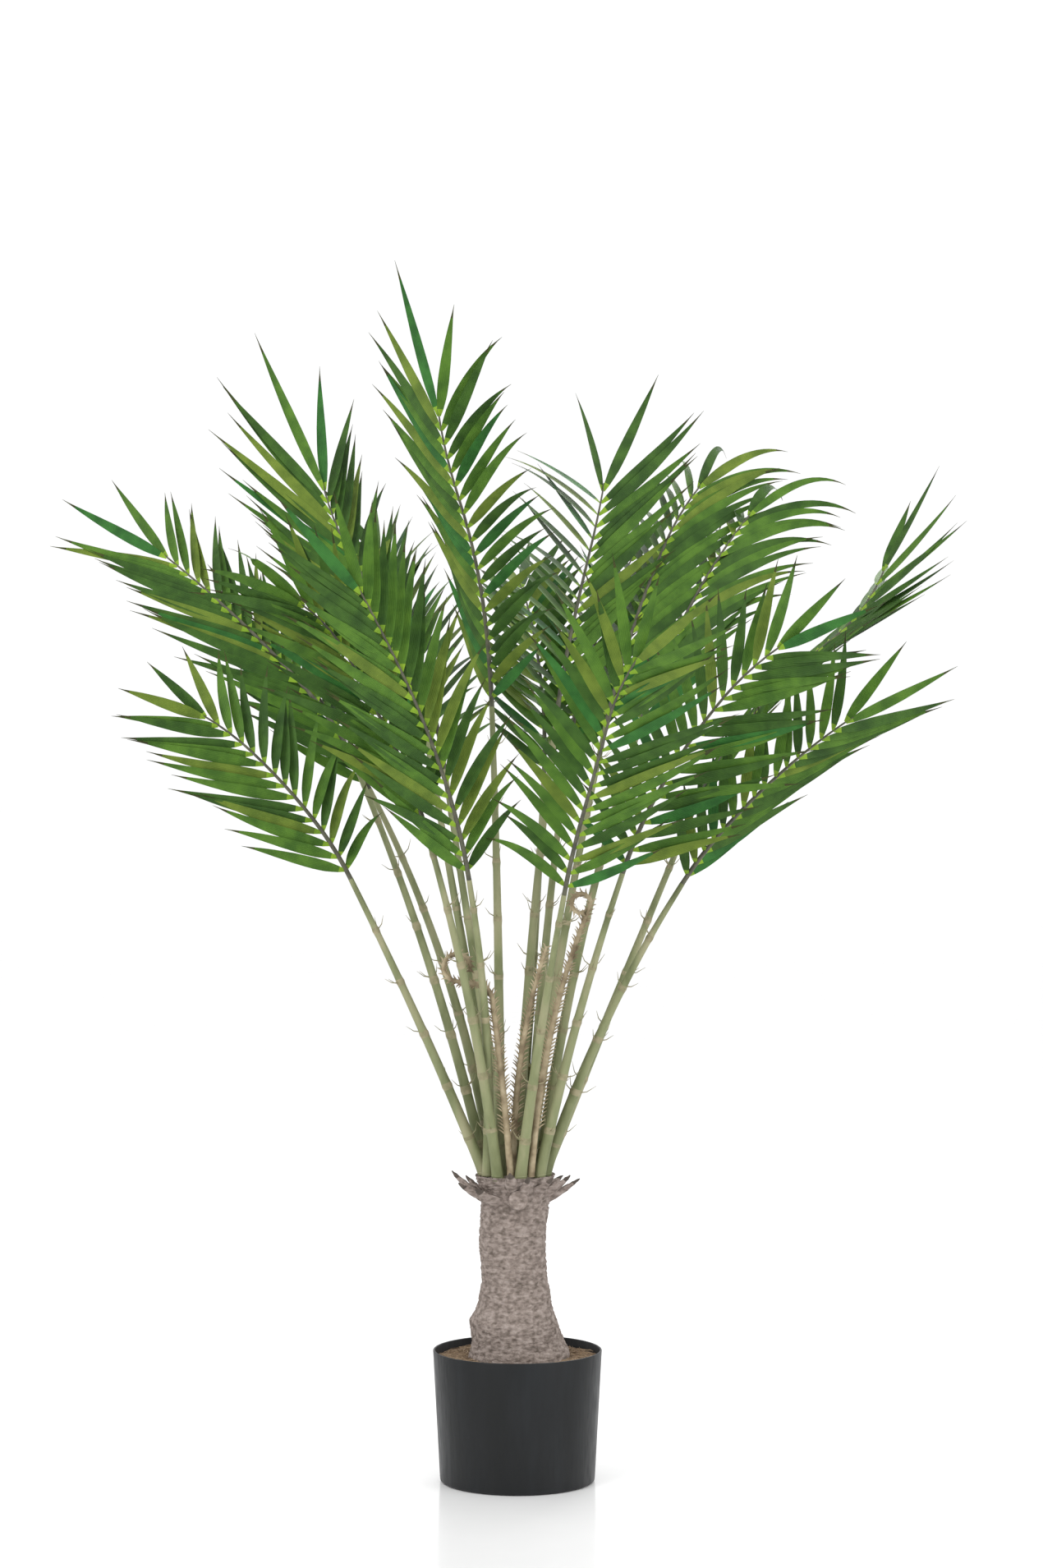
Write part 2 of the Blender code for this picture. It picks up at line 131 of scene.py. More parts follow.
bead = POT_WALL / 2
rim = arc((POT_RIM_RADIUS - bead, POT_HEIGHT - bead), bead, 180, 0)
foot_edge = arc((POT_BASE_RADIUS - POT_EDGE, POT_EDGE), POT_EDGE, 0, -90)
pot_profile = [(0, POT_FLOOR), (inner_radius(POT_FLOOR), POT_FLOOR), *rim, *foot_edge, (0, 0)]
bm = bmesh.new()
corners = [bm.verts.new((radius, 0, height)) for radius, height in pot_profile]
for upper, lower in zip(corners, corners[1:]):
    bm.edges.new((upper, lower))
mesh = bpy.data.meshes.new("pot_shell")
bm.to_mesh(mesh)
bm.free()
pot = bpy.data.objects.new("pot_shell", mesh)
bpy.context.scene.collection.objects.link(pot)
turn = pot.modifiers.new("turn", "SCREW")
turn.steps = POT_SIDES
turn.render_steps = POT_SIDES
turn.use_merge_vertices = True
turn.merge_threshold = POT_MERGE
turn.use_smooth_shade = True
mesh.materials.append(finish_surface(
    "black_pot_plastic", ((0.0035, 0.0045, 0.005), (0.005, 0.006, 0.007), (0.009, 0.011, 0.013)),
    scale=26, roughness=(0.34, 0.50), relief=0.00012, stretch=(1, 1, 0.16), fine=9, shine=0.3))
put(pot, "pot_plastic", "pot")

# The filling: brown coir fibre laid over the weight that the trunk is set in. Its top is
# uneven, and short loose fibres lie on it between the trunk and the wall of the pot.
FILL_TOP = 0.142
FILL_RINGS = 46
FILL_SIDES = 120
FILL_CLEAR = 0.0003
FILL_SINK = 0.0004
FILL_RELIEF = 0.0016
FILL_BUMPS = 160
FILL_SLICE = 0.3
FILL_FOOT_CLEAR = 0.0006
OCTAVE_STEP = 2.0
FIBRE_SEED = 11
FIBRE_COUNT = 1500
FIBRE_LENGTH = (0.010, 0.030)
FIBRE_RADIUS = 0.00028
FIBRE_SIDES = 3
FIBRE_RUNS = 3
FIBRE_FROM = 0.057
FIBRE_EDGE = 0.004
FIBRE_END_CLEAR = 0.001
FIBRE_LIE = (0.0002, 0.0022)
FIBRE_TURN = 0.6
FIBRE_RISE = (-0.06, 0.08)


def mesh_piece(name, points, faces, materials, kinds=None, uvs=None, sharp=40):
    """A closed mesh from its points and faces, smooth-shaded, with a finish for each face."""
    mesh = bpy.data.meshes.new(name)
    mesh.from_pydata([tuple(point) for point in points], [], faces)
    for material in materials:
        mesh.materials.append(material)
    if kinds is not None:
        mesh.polygons.foreach_set("material_index", kinds)
    if uvs is not None:
        layer = mesh.uv_layers.new(name="blade")
        corner_points = np.empty(len(mesh.loops), np.int32)
        mesh.loops.foreach_get("vertex_index", corner_points)
        layer.data.foreach_set("uv", np.array(uvs, np.float32)[corner_points].ravel())
    bm = bmesh.new()
    bm.from_mesh(mesh)
    bmesh.ops.recalc_face_normals(bm, faces=bm.faces)
    bm.to_mesh(mesh)
    bm.free()
    mesh.shade_smooth()
    mesh.set_sharp_from_angle(angle=math.radians(sharp))
    piece = bpy.data.objects.new(name, mesh)
    bpy.context.scene.collection.objects.link(piece)
    return piece


def uneven(spot, roughness, octaves):
    """A height at a place, about nought, that is uneven from coarse to fine."""
    return noise.fractal(spot, roughness, OCTAVE_STEP, octaves)


def unit(vector):
    """The vector at length one."""
    return vector / np.linalg.norm(vector)


def ring_face(low, high, side, sides):
    """The four corners between two rings of points, at one side."""
    other = (side + 1) % sides
    return (low + side, low + other, high + other, high + side)


def add_bar(points, faces, path, radii, sides):
    """Adds a round bar along a path, closed at both ends, and gives the number of its faces."""
    start = len(points)
    before = len(faces)
    first = None
    for index, (place, radius) in enumerate(zip(path, radii)):
        way = unit(path[min(index + 1, len(path) - 1)] - path[max(index - 1, 0)])
        if first is None:
            first = np.cross(way, np.array((0.31, 0.87, 0.13)))
        first = unit(first - way * np.dot(way, first))
        second = np.cross(way, first)
        ring = start + index * sides
        for side in range(sides):
            angle = 2 * math.pi * side / sides
            points.append(place + (first * math.cos(angle) + second * math.sin(angle)) * radius)
            if index:
                faces.append(ring_face(ring - sides, ring, side, sides))
    last = start + (len(path) - 1) * sides
    faces.append(tuple(range(start, start + sides)))
    faces.append(tuple(range(last, last + sides)))
    return len(faces) - before


fill_radius = inner_radius(FILL_TOP) - FILL_CLEAR
foot_radius = inner_radius(POT_FLOOR) - FILL_FOOT_CLEAR
points = [np.array((0, 0, FILL_TOP))]
faces = []
for ring in range(1, FILL_RINGS + 1):
    radius = fill_radius * ring / FILL_RINGS
    for side in range(FILL_SIDES):
        angle = 2 * math.pi * side / FILL_SIDES
        x, y = radius * math.cos(angle), radius * math.sin(angle)
        rise = uneven(Vector((x, y, FILL_SLICE)) * FILL_BUMPS, roughness=0.7, octaves=4) * FILL_RELIEF
        points.append(np.array((x, y, FILL_TOP - FILL_SINK + rise)))
        here = 1 + (ring - 1) * FILL_SIDES + side
        beside = 1 + (ring - 1) * FILL_SIDES + (side + 1) % FILL_SIDES
        if ring == 1:
            faces.append((0, here, beside))
        else:
            faces.append((here - FILL_SIDES, here, beside, beside - FILL_SIDES))
rim_start = 1 + (FILL_RINGS - 1) * FILL_SIDES
base_start = len(points)
for side in range(FILL_SIDES):
    angle = 2 * math.pi * side / FILL_SIDES
    points.append(np.array((foot_radius * math.cos(angle), foot_radius * math.sin(angle),
                            POT_FLOOR + FILL_CLEAR)))
    other = (side + 1) % FILL_SIDES
    faces.append((rim_start + side, base_start + side, base_start + other, rim_start + other))
faces.append(tuple(range(base_start, base_start + FILL_SIDES)))
coir = finish_surface("brown_coir", ((0.10, 0.065, 0.038), (0.19, 0.13, 0.08), (0.32, 0.23, 0.15)),
                      scale=130, roughness=(0.85, 1.0), relief=0.0008)
put(mesh_piece("coir_top", points, faces, [coir]), "coir_filling", "coir_filling")

rng = random.Random(FIBRE_SEED)
points, faces, kinds = [], [], []
for fibre in range(FIBRE_COUNT):
    angle = rng.uniform(0, 2 * math.pi)
    radius = rng.uniform(FIBRE_FROM, fill_radius - FIBRE_EDGE)
    path = [np.array((radius * math.cos(angle), radius * math.sin(angle),
                      FILL_TOP + rng.uniform(*FIBRE_LIE)))]
    heading_angle = rng.uniform(0, 2 * math.pi)
    length = rng.uniform(*FIBRE_LENGTH)
    for run in range(FIBRE_RUNS):
        heading_angle += rng.uniform(-FIBRE_TURN, FIBRE_TURN)
        way = np.array((math.cos(heading_angle), math.sin(heading_angle), rng.uniform(*FIBRE_RISE)))
        path.append(path[-1] + way * length / FIBRE_RUNS)
    if max(math.hypot(*place[:2]) for place in path) < fill_radius - FIBRE_END_CLEAR:
        count = add_bar(points, faces, path, [FIBRE_RADIUS] * len(path), FIBRE_SIDES)
        kinds += [rng.randrange(2)] * count
pale_coir = finish_surface("pale_coir", ((0.30, 0.21, 0.13), (0.42, 0.31, 0.20)),
                           scale=200, roughness=(0.8, 0.95), relief=0.0001)
put(mesh_piece("coir_fibres", points, faces, [coir, pale_coir], kinds), "coir_filling")

# The trunk: a short cast trunk of hard foam painted as grey-brown bark, wrinkled across its
# upper half, pitted and knobbly lower down, and flared where it stands in the filling.
# Its rings give height above the filling, radius and shift to the right, in mm.
TRUNK_RINGS = ((0, 59, 2), (8, 57, 2), (16, 54, 1), (42, 50.5, -4), (63, 42, -3), (92, 38, -4),
               (122, 37.5, -6), (150, 38, -5), (181, 38.5, -3), (196, 42, -3), (212, 45.5, -3))
MM = 0.001
GAP = 0.0003
TRUNK_FOOT = FILL_TOP + GAP
TRUNK_TOP = TRUNK_FOOT + TRUNK_RINGS[-1][0] * MM
TRUNK_X = TRUNK_RINGS[-1][2] * MM
BARK_SIDES = 230
BARK_ROWS = 270
LUMP_BUMPS = 34
LUMP_RISE = 0.0030
WRINKLE_BUMPS = np.array((30, 30, 150))
WRINKLE_LEVEL = 0.6
WRINKLE_RISE = 0.0012
WRINKLE_RISE_ABOVE = 0.0016
PIT_BUMPS = 95
PIT_REACH = 0.34
PIT_DEPTH = 0.0080
PIT_SHARE = 1.15
GRAIN_BUMPS = 420
GRAIN_RISE = 0.0007
UPPER_FROM = 0.35
UPPER_SLOPE = 3
CAP_ROWS = 30
CAP_BUMPS = 90
CAP_DROP = 0.0022
CAP_DEEPEST = 0.006
heights = [ring[0] for ring in TRUNK_RINGS]


def bark_relief(x, y, z, share):
    """How far the bark stands out at a place: lumps, wrinkles across it, pits and grain."""
    spot = Vector((x, y, z))
    lumps = noise.noise(spot * LUMP_BUMPS) * LUMP_RISE
    wrinkles = 1 - abs(uneven(Vector(np.array((x, y, z)) * WRINKLE_BUMPS), roughness=0.8, octaves=3))
    pits = noise.voronoi(spot * PIT_BUMPS)[0][0]
    grain = uneven(spot * GRAIN_BUMPS, roughness=0.6, octaves=3)
    upper = min(1.0, max(0.0, (share - UPPER_FROM) * UPPER_SLOPE))
    out = lumps + (wrinkles - WRINKLE_LEVEL) * (WRINKLE_RISE + WRINKLE_RISE_ABOVE * upper)
    out -= max(0.0, PIT_REACH - pits) * PIT_DEPTH * (PIT_SHARE - upper)
    return out + grain * GRAIN_RISE


points, faces = [], []
for row in range(BARK_ROWS + 1):
    share = row / BARK_ROWS
    level = heights[-1] * share
    radius = np.interp(level, heights, [ring[1] for ring in TRUNK_RINGS]) * MM
    shift = np.interp(level, heights, [ring[2] for ring in TRUNK_RINGS]) * MM
    high = row * BARK_SIDES
    for side in range(BARK_SIDES):
        angle = 2 * math.pi * side / BARK_SIDES
        x, y, z = shift + radius * math.cos(angle), radius * math.sin(angle), TRUNK_FOOT + level * MM
        reach = radius + bark_relief(x, y, z, share)
        points.append(np.array((shift + reach * math.cos(angle), reach * math.sin(angle), z)))
        if row:
            faces.append(ring_face(high - BARK_SIDES, high, side, BARK_SIDES))
faces.append(tuple(range(BARK_SIDES)))
edge_start = BARK_ROWS * BARK_SIDES
for ring in range(1, CAP_ROWS):
    inward = 1 - ring / CAP_ROWS
    high = edge_start + ring * BARK_SIDES
    for side in range(BARK_SIDES):
        outer = points[edge_start + side]
        x = TRUNK_X + (outer[0] - TRUNK_X) * inward
        y = outer[1] * inward
        drop = CAP_DROP + uneven(Vector((x, y, 0)) * CAP_BUMPS, roughness=0.7, octaves=3) * CAP_DROP
        points.append(np.array((x, y, TRUNK_TOP - min(CAP_DEEPEST, abs(drop)))))
        faces.append(ring_face(high - BARK_SIDES, high, side, BARK_SIDES))
last = edge_start + (CAP_ROWS - 1) * BARK_SIDES
faces.append(tuple(range(last, last + BARK_SIDES)))
bark = finish_surface("cast_bark", ((0.13, 0.105, 0.088), (0.25, 0.205, 0.180), (0.36, 0.305, 0.275)),
                      scale=150, roughness=(0.82, 1.0), relief=0.0012, stretch=(1, 1, 1.6),
                      fine=4, shine=0.25)
put(mesh_piece("trunk_cast", points, faces, [bark], sharp=180), "trunk_bark", "trunk")

# The cut leaf bases: pointed scales cast with the trunk, left where old leaves were trimmed,
# standing out round its top with dark dry tips, and one round stub cut off at the front.
HUSK_COUNT = 14
HUSK_LENGTH = 0.050
HUSK_LENGTHS = (0.8, 1.1)
HUSK_WIDTH = 0.028
HUSK_NARROWEST = 0.55
HUSK_WIDENING = 0.45
HUSK_BEAT = 3.7
HUSK_THICK = 0.012
HUSK_THICK_SHARE = 0.8
HUSK_THINNING = 0.7
HUSK_SHOULDER = 1.6
HUSK_BLUNTNESS = 0.8
HUSK_EDGE = 0.0006
HUSK_EDGE_THICK = 0.0005
HUSK_HOLLOW = 0.45
HUSK_HOLLOW_LEVEL = 0.4
HUSK_TILT = (48, 66)
HUSK_CURL = 0.30
HUSK_CURL_LEVEL = 0.45
HUSK_DROP = (0.016, 0.032)
HUSK_SUNK = 0.012
HUSK_STRAY = 0.35
HUSK_SEED = 5
HUSK_STEPS = 16
HUSK_SIDES = 14
HUSK_DARK_FROM = 0.86
HUSK_BUMPS = np.array((320, 320, 90))
HUSK_RIDGE = 0.0009
STUB_RADIUS = 0.012
STUB_DROP = 0.026
STUB_SHIFT = 0.004
STUB_TILT = math.radians(80)
STUB_REACH = (-0.010, 0.0102)
STUB_RINGS = 12
STUB_TAPER = 0.1
STUB_RIPPLE = 0.0003
STUB_RIPPLE_BEAT = 5
STUB_FACE = 0.55
STUB_FACE_RISE = 0.0004
STUB_SIDES = 30


def add_husk(points, faces, kinds, angle, tilt, length, drop, width):
    """One scale: a crescent in section that narrows to a point and curls up near its end."""
    out = np.array((math.cos(angle), math.sin(angle), 0.0))
    across = np.array((-math.sin(angle), math.cos(angle), 0.0))
    place = np.array((TRUNK_X, 0.0, TRUNK_TOP - drop)) + out * (TRUNK_RINGS[-2][1] * MM - HUSK_SUNK)
    start = len(points)
    for step in range(HUSK_STEPS + 1):
        share = step / HUSK_STEPS
        lean = tilt + HUSK_CURL * (HUSK_CURL_LEVEL - share)
        way = out * math.sin(lean) + np.array((0, 0, math.cos(lean)))
        back = np.cross(across, way)
        half = HUSK_WIDTH / 2 * width * (1 - share ** HUSK_SHOULDER) ** HUSK_BLUNTNESS + HUSK_EDGE
        deep = HUSK_THICK / 2 * (1 - share) ** HUSK_THINNING * HUSK_THICK_SHARE + HUSK_EDGE_THICK
        high = start + step * HUSK_SIDES
        for side in range(HUSK_SIDES):
            turn_angle = 2 * math.pi * side / HUSK_SIDES
            spread = math.cos(turn_angle)
            hollow = -HUSK_HOLLOW * half * (spread ** 2 - HUSK_HOLLOW_LEVEL)
            spot = place + across * half * spread + back * (deep * math.sin(turn_angle) + hollow)
            ridge = uneven(Vector(spot * HUSK_BUMPS), roughness=0.7, octaves=3) * HUSK_RIDGE
            points.append(spot + back * ridge)
            if step:
                faces.append(ring_face(high - HUSK_SIDES, high, side, HUSK_SIDES))
                kinds.append(1 if share > HUSK_DARK_FROM else 0)
        place = place + way * length / HUSK_STEPS
    faces.append(tuple(range(start, start + HUSK_SIDES)))
    last = start + HUSK_STEPS * HUSK_SIDES
    faces.append(tuple(range(last, last + HUSK_SIDES)))
    kinds += [0, 1]


rng = random.Random(HUSK_SEED)
points, faces, kinds = [], [], []
for index in range(HUSK_COUNT):
    angle = 2 * math.pi * (index + HUSK_STRAY * rng.random()) / HUSK_COUNT
    tilt = math.radians(rng.uniform(*HUSK_TILT))
    length = HUSK_LENGTH * rng.uniform(*HUSK_LENGTHS)
    drop = rng.uniform(*HUSK_DROP)
    width = HUSK_NARROWEST + HUSK_WIDENING * math.sin(HUSK_BEAT * index) ** 2
    add_husk(points, faces, kinds, angle, tilt, length, drop, width)
dark_husk = finish_surface("dry_husk_tip", ((0.045, 0.035, 0.028), (0.10, 0.08, 0.065)),
                           scale=90, roughness=(0.8, 0.95), relief=0.0005)
put(mesh_piece("leaf_bases", points, faces, [bark, dark_husk], kinds, sharp=60), "trunk_bark")

points, faces = [], []
stub_way = np.array((0.0, -math.sin(STUB_TILT), math.cos(STUB_TILT)))
stub_root = np.array((TRUNK_X + STUB_SHIFT, -TRUNK_RINGS[-3][1] * MM, TRUNK_TOP - STUB_DROP))
stub_path = [stub_root + stub_way * along for along in np.linspace(*STUB_REACH, STUB_RINGS)]
stub_path.append(stub_path[-1] + stub_way * STUB_FACE_RISE)
stub_radii = []
for ring in range(STUB_RINGS):
    taper = 1.0 - STUB_TAPER * ring / (STUB_RINGS - 1)
    stub_radii.append(STUB_RADIUS * taper + STUB_RIPPLE * math.sin(STUB_RIPPLE_BEAT * ring))
stub_radii.append(STUB_RADIUS * STUB_FACE)
add_bar(points, faces, stub_path, stub_radii, STUB_SIDES)
put(mesh_piece("cut_stub", points, faces, [bark]), "trunk_bark")

# The stems: segmented tubes of olive plastic over wire, pushed into the trunk's top, thick at
# the foot and ringed by a joint every few centimetres, from which thin plastic spines stand.
STEM_FOOT_RADIUS = 0.0065
STEM_FOOT_SWELL = 1.12
STEM_FOOT_HEIGHT = 0.02
STEM_TIP_RADIUS = 0.0030
STEM_STEPS = 7
STEM_POINTS = 110
STEM_SIDES = 18
STEM_SEED = 100
FOOT_RISE = 0.004
JOINT_SPACING = 0.066
JOINT_FIRST = (0.5, 0.9)
JOINT_END_CLEAR = 0.03
JOINT_RISE = 0.0008
JOINT_REACH = 0.0035
JOINT_BAND = 0.0032
SPINES_AT_JOINT = (2, 3, 3)
SPINE_LENGTH = (0.011, 0.020)
SPINE_RADIUS = 0.0008
SPINE_TAPER = (1, 0.7, 0.2)
SPINE_BENDS = ((0.5, 0.4), (0.9, 0.8))
SPINE_SIDES = 5
ROOT_SUNK = 0.8
UP = np.array((0.0, 0.0, 1.0))
FRONT = np.array((0.0, -1.0, 0.0))
# Foot on the trunk's top (x, y mm); lean to the left at the foot, at the blade, at three and
# seven tenths of the blade and at its tip; lean back at foot, blade and tip (degrees); stem
# and blade (mm); turn of the blade from the front; first and last leaflets (mm); pairs;
# spread of the first, middle and last leaflets; and how far the last ones rise
Frond = namedtuple("Frond", "foot left back stem blade face leaf pairs spread lift", defaults=(0.0,))
FRONDS = (
    Frond((-37, -2), (22, 26, 37, 46, 60), (-3, -8, -12), 372, 262, 30, (158, 115), 12, (60, 52, 40)),
    Frond((-34, 14), (13, 23, 41, 48, 52), (3, 8, 12), 485, 360, 30, (172, 150), 17, (52, 38, 38), 0.1),
    Frond((-26, 27), (9, 28, 30, 38, 56), (6, 16, 28), 472, 285, 40, (165, 140), 14, (52, 40, 36)),
    Frond((-20, -32), (7, 16, 25, 28, 56), (-6, -14, -34), 420, 310, 30, (172, 150), 15, (52, 40, 30), -0.3),
    Frond((-31, -15), (-2, 9, 17, 25, 28), (-8, -18, -32), 350, 385, 30, (172, 150), 17, (56, 42, 34)),
    Frond((-12, 36), (11, 10, 24, 30, 14), (5, 10, 14), 512, 338, 35, (190, 205), 17, (52, 42, 30), 0.1),
    Frond((-6, 8), (10, 9, 14, 22, 30), (6, 20, 44), 480, 340, 20, (170, 150), 15, (52, 40, 32)),
    Frond((-17, -5), (0, 2, 7, 18, 8), (0, -2, -6), 535, 348, -50, (165, 175), 17, (50, 56, 44), -0.2),
    Frond((4, 20), (-2, -8, -12, -14, -10), (4, 14, 22), 540, 294, -10, (172, 190), 14, (52, 48, 50)),
    Frond((3, 37), (-5, -3, 4, 11, 20), (8, 28, 60), 480, 340, -15, (165, 150), 15, (52, 40, 32)),
    Frond((17, 33), (-3, -8, -15, -23, -30), (8, 24, 44), 490, 330, -25, (165, 150), 15, (52, 40, 32)),
    Frond((7, -36), (-7, -10, -15, -14, -34), (-8, -22, -44), 340, 330, -20, (172, 150), 16, (70, 60, 40)),
    Frond((17, 6), (-7, -13, -18, -24, -40), (4, 16, 30), 530, 350, -30, (172, 150), 15, (52, 42, 36), -0.8),
    Frond((29, 23), (-8, -18, -24, -32, -40), (4, 12, 20), 530, 310, -52, (160, 140), 15, (56, 56, 48),
          -1.2),
    Frond((29, -23), (-12, -18, -28, -39, -56), (-6, -14, -24), 365, 335, -30, (168, 140), 15, (70, 60, 40)),
    Frond((36, 8), (-22, -23, -38, -52, -20), (2, 6, 8), 440, 386, -82, (165, 140), 17, (36, 32, 60), 0.2),
    Frond((36, -8), (-18, -32, -42, -49, -56), (-3, -8, -14), 370, 275, 40, (160, 150), 13, (44, 42, 48)),
)


def turned(vector, axis, angle):
    """The vector turned about a unit axis."""
    along = axis * np.dot(axis, vector)
    return along + (vector - along) * math.cos(angle) + np.cross(axis, vector) * math.sin(angle)


def heading(left, back):
    """Unit direction that leans to the left in the front view, and back, in degrees."""
    left = math.radians(left)
    back = math.radians(back)
    return np.array((-math.cos(back) * math.sin(left), math.sin(back), math.cos(back) * math.cos(left)))


def leaning_path(start, spots, left, back, length, steps):
    """Points and directions of a path whose lean follows the given stations."""
    path = [start]
    ways = []
    for step in range(steps):
        share = (step + 0.5) / steps
        ways.append(heading(np.interp(share, spots, left), np.interp(share, (0, 1), back)))
        path.append(path[-1] + ways[-1] * length / steps)
    return path, ways


def smooth_path(path, count):
    """The path drawn as one smooth curve through its points, with more of them."""
    path = np.array(path)
    slopes = np.gradient(path, axis=0)
    result = []
    for spot in np.linspace(0, len(path) - 1, count):
        low = min(int(spot), len(path) - 2)
        t = spot - low
        start, end = path[low], path[low + 1]
        rise = (3 - 2 * t) * t * t
        result.append(start * (1 - rise) + end * rise + slopes[low] * t * (1 - t) ** 2
                      - slopes[low + 1] * t * t * (1 - t))
    return result


def travel_along(path):
    """How far each point of a path is from its foot, along it."""
    return np.concatenate(([0.0], np.cumsum([np.linalg.norm(b - a) for a, b in zip(path, path[1:])])))


def foot_point(foot):
    """Where the foot of a stem stands, just clear of the trunk's top."""
    return np.array((TRUNK_X + foot[0] * MM, foot[1] * MM, TRUNK_TOP + GAP))


def stem_radius(along, whole, joints):
    """Radius of a stem: swollen at its foot, narrower to its tip, and raised at each joint."""
    radius = np.interp(along, (0, STEM_FOOT_HEIGHT, whole),
                       (STEM_FOOT_RADIUS * STEM_FOOT_SWELL, STEM_FOOT_RADIUS, STEM_TIP_RADIUS))
    near = min(abs(along - joint) for joint in joints)
    return radius + JOINT_RISE * math.exp(-(near / JOINT_REACH) ** 2)


def add_spine(points, faces, root, side, way, length):
    """One thin spine that starts out from the stem and bends up along it."""
    path = [root] + [root + (side + way * rise) * length * reach for rise, reach in SPINE_BENDS]
    add_bar(points, faces, path, [SPINE_RADIUS * taper for taper in SPINE_TAPER], SPINE_SIDES)


olive = finish_surface("olive_stem", ((0.13, 0.15, 0.065), (0.22, 0.24, 0.12), (0.30, 0.29, 0.17)),
                       scale=34, roughness=(0.45, 0.65), relief=0.0003, stretch=(1, 1, 0.35),
                       fine=14, shine=0.3)
joint_tan = finish_surface("stem_joint", ((0.17, 0.17, 0.08), (0.32, 0.28, 0.17)),
                           scale=120, roughness=(0.5, 0.7), relief=0.0003)
spine_points, spine_faces = [], []
blades = []
for number, frond in enumerate(FRONDS, 1):
    foot = foot_point(frond.foot)
    coarse, ways = leaning_path(foot + UP * FOOT_RISE, (0, 1), frond.left[:2], frond.back[:2],
                                frond.stem * MM, STEM_STEPS)
    path = smooth_path([foot] + coarse, STEM_POINTS)
    rng = random.Random(STEM_SEED + number)
    travel = travel_along(path)
    first_joint = rng.uniform(*JOINT_FIRST) * JOINT_SPACING
    joints = np.arange(first_joint, travel[-1] - JOINT_END_CLEAR, JOINT_SPACING)
    radii = [stem_radius(along, travel[-1], joints) for along in travel]
    points, faces = [], []
    add_bar(points, faces, path, radii, STEM_SIDES)
    kinds = []
    for low, high in zip(travel, travel[1:]):
        near = min(abs(low + high - 2 * joint) / 2 for joint in joints)
        kinds += [1 if near < JOINT_BAND else 0] * STEM_SIDES
    kinds += [0, 0]
    put(mesh_piece(f"stem_tube_{number:02d}", points, faces, [olive, joint_tan], kinds), "stem_plastic",
        f"stem_{number:02d}")
    for joint in joints:
        index = int(np.searchsorted(travel, joint))
        way = unit(path[index] - path[index - 1])
        for spine in range(rng.choice(SPINES_AT_JOINT)):
            side = turned(unit(np.cross(way, FRONT)), way, rng.uniform(0, 2 * math.pi))
            root = path[index] + side * radii[index] * ROOT_SUNK
            add_spine(spine_points, spine_faces, root, side, way, rng.uniform(*SPINE_LENGTH))
    blades.append((number, frond, coarse[-1], ways[-1]))
put(mesh_piece("stem_spines", spine_points, spine_faces, [joint_tan]), "stem_plastic")

# The leaflets: cloth stamped to narrow pointed blades with a pressed fold along the middle,
# printed green, lime where they join the rib and brown at the tip, glued along a wired rib.
LEAF_WIDTH = 0.0132
LEAF_THICK = 0.0007
LEAF_THINNING = 0.6
LEAF_FOLD = 0.22
LEAF_STEPS = 16
LEAF_MORE = 1.25
LEAF_SEED = 40
LEAF_CORNERS = 4
WIDTH_SHARES = (0, 0.03, 0.08, 0.20, 0.33, 0.50, 0.70, 0.84, 0.93, 1)
WIDTHS = (0.22, 0.38, 0.62, 0.93, 1, 0.88, 0.58, 0.30, 0.10, 0.02)
LENGTH_STATIONS = (0, 0.3, 0.6, 1)
FIRST_LENGTH = 0.8
LENGTH_RANGE = (0.9, 1.08)
SPREAD_STATIONS = (0, 0.5, 1)
SPREAD_STRAY = 5
LAST_PAIR = 0.4
ROW_DROOP = math.radians(-12)
INNER_TWIST = math.radians(50)
INNER_CURL = -0.1
INNER_LENGTH = 0.80
OUTER_TWIST = math.radians(-20)
OUTER_CURL = 0.35
OUTER_SPREAD = 0.80
CURL_STRAY = 0.2
SINK_MOST = 0.35
SINK_EASE = 0.6
TONE_CHANCES = (5, 5, 2, 1)
LIME_END = 0.10
TIP_START = 0.88
LEAF_SHINE = 0.22
LEAF_DRIFT = 45
LEAF_DRIFT_DETAIL = 5
LEAF_VEINS = 2.6
VEIN_WANDER = 0.3
VEIN_TONE = 0.16
VEIN_RELIEF = 0.0003
VEIN_STRENGTH = 0.6
DEEP_SPOT = 0.42
PALE_SPOT = 0.74
BLADE_STATIONS = (0, 0.3, 0.7, 1)
RIB_TIP_RADIUS = 0.00096
RIB_SUNK = 0.002
RIB_POINTS = 70
RIB_SIDES = 10


